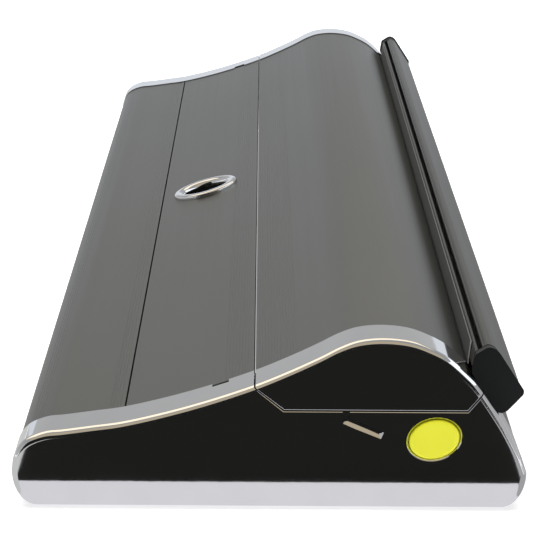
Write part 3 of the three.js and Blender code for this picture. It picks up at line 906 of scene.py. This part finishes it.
low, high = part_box("pole_foot_plug")
plug = turned(
    [
        (pole_radius * 0.55, low.x + 0.0008),
        (pole_radius * 0.62, low.x),
        (pole_radius - 0.0016, low.x),
        (pole_radius - 0.0005, low.x + 0.0005),
        (pole_radius, low.x + 0.0016),
        (pole_radius, high.x),
    ],
    (0, pole_y, pole_z),
    along_x,
    64,
)
fitted("pole_foot", plug, black, "black_plastic", "pole_outer", "pole_foot_plug")
repainted(black, "pole_top_hook", "pole_clip_1", "pole_clip_2")

# ---------------------------------------------------------------- cassette
# The lift-out cartridge: an open aluminium tray, a pressed steel plate at each end, and the roller on
# its fixed spindle, with the return spring inside the tube.

repainted(anodised, "cassette_tray")
repainted(steel, "roller_plate_left", "roller_plate_right", "roller_spindle", "roller_spring")
repainted(mill, "roller_tube")
repainted(black, "roller_plug_left", "roller_plug_right")

# ---------------------------------------------------------------- rolled graphic
# A blank printing film with a grey back, 850 mm wide and 2.1 m long, wound on the roller in one
# spiral. A plain grey stretch leads over from it to the slot in the front.

film = Paint("graphic film", Specular_IOR_Level=0.4)
weave = film.noise((900.0, 900.0, 900.0), 2.0)
haze = film.noise((7.0, 7.0, 7.0), 2.0)
film.set(
    Base_Color=film.tint(haze, (0.83, 0.83, 0.815), (0.89, 0.89, 0.88)),
    Roughness=0.42 + weave * 0.12,
    Normal=film.bump(weave, 0.12, 0.00008),
)
film_back = Paint("grey film back", Specular_IOR_Level=0.3)
fibre = film_back.noise((700.0, 2400.0, 700.0), 2.0)
film_back.set(
    Base_Color=film_back.tint(fibre, (0.085, 0.087, 0.086), (0.115, 0.117, 0.116)),
    Roughness=0.5 + fibre * 0.12,
    Normal=film_back.bump(fibre, 0.12, 0.00008),
)
film_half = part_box("wound_graphic")[1].x
film_length = 2.1
film_thick = 0.00023
roll_low, roll_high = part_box("wound_graphic")
roll_outer = (roll_high.z - roll_low.z) / 2
roller_y = (roll_low.y + roll_high.y) / 2
roller_z = (roll_low.z + roll_high.z) / 2
roll_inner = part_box("roller_tube")[1].z - roller_z + fit_gap
pitch = math.pi * ((roll_outer - film_thick) ** 2 - roll_inner**2) / film_length
turns = (roll_outer - film_thick - roll_inner) / pitch
turn_steps = 40
wound = []
for i in range(int(turns * turn_steps) + 1):
    angle = 2 * math.pi * i / turn_steps
    under = roll_inner + pitch * i / turn_steps
    over = under + film_thick
    ring = []
    for x, out in ((-film_half, under), (film_half, under), (film_half, over), (-film_half, over)):
        ring.append((x, roller_y + out * math.cos(angle), roller_z + out * math.sin(angle)))
    wound.append(ring)
roll = fitted("rolled_graphic", lofted(wound, edge=50), film, "graphic_film", "roller", "wound_graphic")
repainted(film_back, "graphic_in_cassette")

# ---------------------------------------------------------------- graphic at the slot
# The short stretch of film that shows between the slot and its hem, drawn as a fixed band. On the
# real stand it follows the hem up as the rail is pulled, so it becomes the banner.


def film_band(low, high, rows, depth=0.0006):
    """Film from one height to another at the slot, in rows of narrow faces."""
    rings = []
    for i in range(rows + 1):
        t = i / rows
        y = low[0] + (high[0] - low[0]) * t
        z = low[1] + (high[1] - low[1]) * t
        fore = y - depth
        corners = ((-film_half, y), (film_half, y), (film_half, fore), (-film_half, fore))
        rings.append([(across, along, z) for across, along in corners])
    return lofted(rings)


def backed(piece):
    """Gives the film's rear faces the grey back."""
    piece.data.materials.append(film_back.material)
    for face in piece.data.polygons:
        if face.normal.y > 0.3 or face.normal.z > 0.8:
            face.material_index = 1


web_low, web_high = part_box("graphic_web")
hem_low, hem_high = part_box("graphic_hem")
web_y = web_high.y
web_top = hem_low.z - 0.0001
web = bpy.data.objects.new("banner_at_slot", film_band((web_y, web_low.z), (web_y, web_top), 64))
bpy.context.scene.collection.objects.link(web)
web.data.materials.clear()
web.data.materials.append(film.material)
backed(web)
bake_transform(web)
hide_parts("graphic_web")

# ---------------------------------------------------------------- hem
# The graphic's upper edge, folded and welded into a stiff hem that the rail tips on.

hem = film_band((web_y, hem_low.z), (web_y - 0.0011, hem_high.z), 10)
hem = fitted("graphic_hem_edge", hem, film, "graphic_film", "leader", "graphic_hem")
backed(hem)

# ---------------------------------------------------------------- cassette hood
# The rounded cover over the roll, one thin anodised extrusion with reeds beside its rear seam. Its
# front edge is the other lip of the slot.

hood_front = front + 0.0275
hood_line = between(trough_rear, hood_front)
hood_length = sum(math.dist(a, b) for a, b in zip(hood_line, hood_line[1:]))
hood_reeds = [hood_length - (1.8 + 1.6 * i) * mm for i in range(13)]
hood_under = beside(hood_line, -wall)[::-1]
hood_loop = [*eased_both(reeded(hood_line, hood_reeds)), *hood_under]
hood_mesh = extruded([hood_loop], -profile_end, profile_end)
fitted("hood", hood_mesh, anodised, "anodised_aluminium", "cassette", "cassette_hood")

# ---------------------------------------------------------------- top rail
# The rail that clamps the graphic's top edge: a hollow anodised profile and a hinged outer jaw, which
# lie against the base's front slope.

slope_top = (front + 0.022, crest - 0.0246)
slope_foot = (front + 0.0135, crest - 0.0372)
rail_lean = math.atan2(slope_top[0] - slope_foot[0], slope_top[1] - slope_foot[1])
rail_off = 0.0008
rail_at = (
    0,
    slope_foot[0] - rail_off * math.cos(rail_lean),
    slope_foot[1] + rail_off * math.sin(rail_lean),
)
on_slope = Matrix.Translation(rail_at) @ Matrix.Rotation(-rail_lean, 4, "X")
rail_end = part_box("rail_body")[1].x
rail_height = 28.9
lip = 6.8
jaw_face = 8.6
jaw_out = 14.2


def rounded(points, radius, steps=4):
    """Takes the corners off a closed outline, each with a small round."""
    line = []
    for i, point in enumerate(points):
        before, after = Vector(points[i - 1]), Vector(points[(i + 1) % len(points)])
        corner = Vector(point)
        back, on = before - corner, after - corner
        cut = min(radius, back.length * 0.45, on.length * 0.45)
        a, b = corner + back.normalized() * cut, corner + on.normalized() * cut
        for step in range(steps + 1):
            t = step / steps
            spot = a * (1 - t) ** 2 + corner * (2 * t * (1 - t)) + b * t**2
            line.append((spot.x, spot.y))
    return line


def rail_section(points, ease):
    """An outline of (out from the slope, up the slope) in millimetres, with eased corners."""
    return [(-out * mm, up * mm) for out, up in rounded(points, ease)]


body_line = [
    (0, 0),
    (0, rail_height - 5.7),
    (5.4, rail_height),
    (lip, rail_height),
    (lip, 5),
    (9.6, 5),
    (9.6, 1.1),
    (2.6, -0.7),
]
body_room = [(1.5, 1.3), (1.5, rail_height - 6.5), (lip - 1.5, rail_height - 4), (lip - 1.5, 1.3)]
body_mesh = extruded([rail_section(body_line, 0.5), rail_section(body_room, 0.3)], -rail_end, rail_end)
body_mesh.transform(on_slope)
rail_paint = anodising("anodised rail", (0.092, 0.095, 0.091), (0.125, 0.128, 0.122))
fitted("rail_profile", body_mesh, rail_paint, "anodised_aluminium", "rail", "rail_body")

outer_line = [
    (12, rail_height - 0.2),
    (13.6, rail_height - 2.1),
    (jaw_out, rail_height - 4.4),
    (jaw_out - 0.3, 3),
    (13.2, 1.9),
]
jaw_line = [
    (10.9, 1.7),
    (10.5, 4.7),
    (jaw_out - 2, 6.5),
    (jaw_out - 2, rail_height - 9.4),
    (jaw_face, rail_height - 9.4),
    (jaw_face, rail_height - 1.3),
    (jaw_face + 0.8, rail_height - 0.2),
    (10.2, rail_height - 0.2),
    (10.35, rail_height - 0.55),
    (10.65, rail_height - 0.55),
    (10.8, rail_height - 0.2),
    *outer_line,
]
strip_back, strip_front, strip_top = lip + 0.4, jaw_face - 0.5, rail_height - 9.5
strip_loop = [(strip_back, 6), (strip_back, strip_top), (strip_front, strip_top), (strip_front, 6)]
clamped = extruded([[(-out * mm, up * mm) for out, up in strip_loop]], -film_half, film_half)
clamped.transform(on_slope)
fitted("clamped_film", clamped, film, "graphic_film", "rail", "graphic_clamp_strip")
jaw_mesh = extruded([rail_section(jaw_line, 0.35)], fit_gap - rail_end, rail_end - fit_gap)
jaw_mesh.transform(on_slope)
fitted("rail_clamp_jaw", jaw_mesh, rail_paint, "anodised_aluminium", "jaw", "rail_jaw")

# ---------------------------------------------------------------- rail end caps
# Black moulded plugs, pushed into the rail's hollow, with a fine grain and a rounded edge round their
# flat outer face.

plug_line = rail_section([*body_line[:3], *outer_line, body_line[-1]], 1.1)
plug_edge = 0.001
plug_steps = 5
for name, side in ends:
    low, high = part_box(f"rail_end_cap_{name}")
    start, face = sorted((abs(low.x), abs(high.x)))
    rings = [[(side * start, y, z) for y, z in beside(plug_line, 0.0002, True)]]
    rings.append([(side * (start + 0.0002), y, z) for y, z in plug_line])
    for step in range(plug_steps + 1):
        angle = step / plug_steps * math.pi / 2
        inset = plug_edge * (1 - math.cos(angle))
        x = side * (face - plug_edge * (1 - math.sin(angle)))
        rings.append([(x, y, z) for y, z in beside(plug_line, inset, True)])
    cap = lofted(rings)
    cap.transform(on_slope)
    cap = flat_faces_kept(cap)
    fitted(f"rail_plug_{name}", cap, black, "black_plastic", "rail", f"rail_end_cap_{name}")

# ---------------------------------------------------------------- floor, lights and camera
# A plain pale floor under soft light. Cards lie and stand round the stand, where only reflections show
# them: dark and pale ones for the polished ends, a cream one for their rims, grey ones for the sides.


def glowing(name, colour):
    """A card's own light, of one colour, with nothing reflected."""
    paint = Paint(name, Base_Color=(0.0, 0.0, 0.0, 1.0), Specular_IOR_Level=0.0)
    paint.set(Emission_Color=(*colour, 1.0), Emission_Strength=1.0)
    return paint


def flat_sheet(name, x, y, z, paint):
    mesh = bpy.data.meshes.new(name)
    corners = [(x[0], y[0], z), (x[1], y[0], z), (x[1], y[1], z), (x[0], y[1], z)]
    mesh.from_pydata(corners, [], [(0, 1, 2, 3)])
    mesh.materials.append(paint.material)
    sheet = bpy.data.objects.new(name, mesh)
    bpy.context.scene.collection.objects.link(sheet)
    return sheet


def card(name, x, y, z, paint):
    """A sheet that only shows in reflections."""
    sheet = flat_sheet(name, x, y, z, paint)
    sheet.visible_camera = False
    sheet.visible_diffuse = False
    sheet.visible_shadow = False
    sheet.visible_transmission = False
    return sheet


def standing_card(name, x, top, half, paint):
    """A card on its edge, square to the length of the stand."""
    sheet = card(name, (0.0, top), (-half, half), 0.0, paint)
    sheet.data.transform(Matrix(((0, 0, 1, x), (0, 1, 0, 0), (1, 0, 0, 0), (0, 0, 0, 1))))


floor_paint = Paint("floor", Base_Color=(0.9, 0.9, 0.9, 1.0), Roughness=0.9, Specular_IOR_Level=0.0)
floor_paint.set(Emission_Color=(1.0, 1.0, 1.0, 1.0), Emission_Strength=0.45)
flat_sheet("floor", (-9.0, 9.0), (-9.0, 9.0), 0.0, floor_paint)

pale_paint = glowing("pale card", (0.76, 0.75, 0.78))
white_paint = glowing("white card", (0.72, 0.75, 0.8))
cream_paint = glowing("cream card", (0.5, 0.42, 0.3))
grey_paint = glowing("grey card", (0.4, 0.4, 0.41))
light_grey_paint = glowing("light grey card", (0.62, 0.62, 0.61))
dark_paint = Paint(
    "dark card", Base_Color=(0.012, 0.012, 0.011, 1.0), Roughness=0.9, Specular_IOR_Level=0.0
)
split = cap_face + 0.036
for name, side, reach in (("left", -1, 1.9), ("right", 1, 1.3)):
    for kind, near, far, paint in (
        ("dark", split, reach, dark_paint),
        ("pale", cap_face - 0.03, split, pale_paint),
    ):
        card(f"{kind}_card_{name}", sorted((side * near, side * far)), (-0.7, 0.7), 0.0004, paint)
card("cream_card_above", (-2.3, -0.85), (-1.6, 1.6), 1.65, cream_paint)
card("grey_card_front", (-0.7, 1.2), (-1.2, front - 0.002), 0.0008, grey_paint)
card("light_grey_card_rear", (-0.7, 1.2), (rear + 0.002, 1.2), 0.0008, light_grey_paint)
standing_card("white_card_behind", 1.2, 0.29, 0.7, white_paint)
standing_card("dark_card_before", -1.9, 1.2, 1.6, dark_paint)

world = bpy.data.worlds.new("studio")
bpy.context.scene.world = world
world.use_nodes = True
nodes, links = world.node_tree.nodes, world.node_tree.links
where = nodes.new("ShaderNodeTexCoord")
parts = nodes.new("ShaderNodeSeparateXYZ")
ramp = nodes.new("ShaderNodeValToRGB")
links.new(where.outputs["Generated"], parts.inputs[0])
links.new(parts.outputs["Z"], ramp.inputs[0])
links.new(ramp.outputs[0], nodes["Background"].inputs["Color"])
nodes["Background"].inputs["Strength"].default_value = 1.0
stops = [(0.0, 0.55), (0.1, 0.48), (0.4, 0.42), (0.7, 0.34), (1.0, 0.34)]
while len(ramp.color_ramp.elements) < len(stops):
    ramp.color_ramp.elements.new(0.5)
for element, (place, level) in zip(ramp.color_ramp.elements, stops):
    element.position = place
    element.color = (level, level, level, 1.0)


def softbox(name, at, aim, size, power):
    light = bpy.data.lights.new(name, "AREA")
    light.shape = "RECTANGLE"
    light.size, light.size_y = size
    light.energy = power
    holder = bpy.data.objects.new(name, light)
    bpy.context.scene.collection.objects.link(holder)
    holder.location = at
    holder.rotation_euler = (Vector(aim) - Vector(at)).to_track_quat("-Z", "Y").to_euler()
    return holder


overhead = softbox("overhead", (0.2, 0.1, 2.6), (0, 0, 0), (3.2, 3.2), 90.0)
overhead.visible_glossy = False
strip = softbox("warm_strip", (0.7, 0.25, 1.7), (0.2, 0, 0), (3.2, 1.5), 15.0)
strip.data.color = (1.0, 0.84, 0.58)
strip.visible_diffuse = False
cool = softbox("cool_strip", (0.0, -1.6, 1.0), (0, 0, 0), (3.0, 0.5), 5.0)
cool.data.color = (0.86, 0.93, 1.0)
cool.visible_diffuse = False

camera = bpy.data.cameras.new("camera")
camera.sensor_width = 36.0
camera.lens = 153.35
camera.clip_end = 50.0
camera.dof.use_dof = False
eye = bpy.data.objects.new("camera", camera)
bpy.context.scene.collection.objects.link(eye)
eye.matrix_world = Matrix(
    (
        (-0.00373, 0.25927, -0.9658, -1.4820),
        (-0.99996, 0.00646, 0.0056, 0.0047),
        (0.00769, 0.96578, 0.25924, 0.3901),
        (0.0, 0.0, 0.0, 1.0),
    )
)
bpy.context.scene.camera = eye
bpy.context.scene.view_settings.view_transform = "Standard"
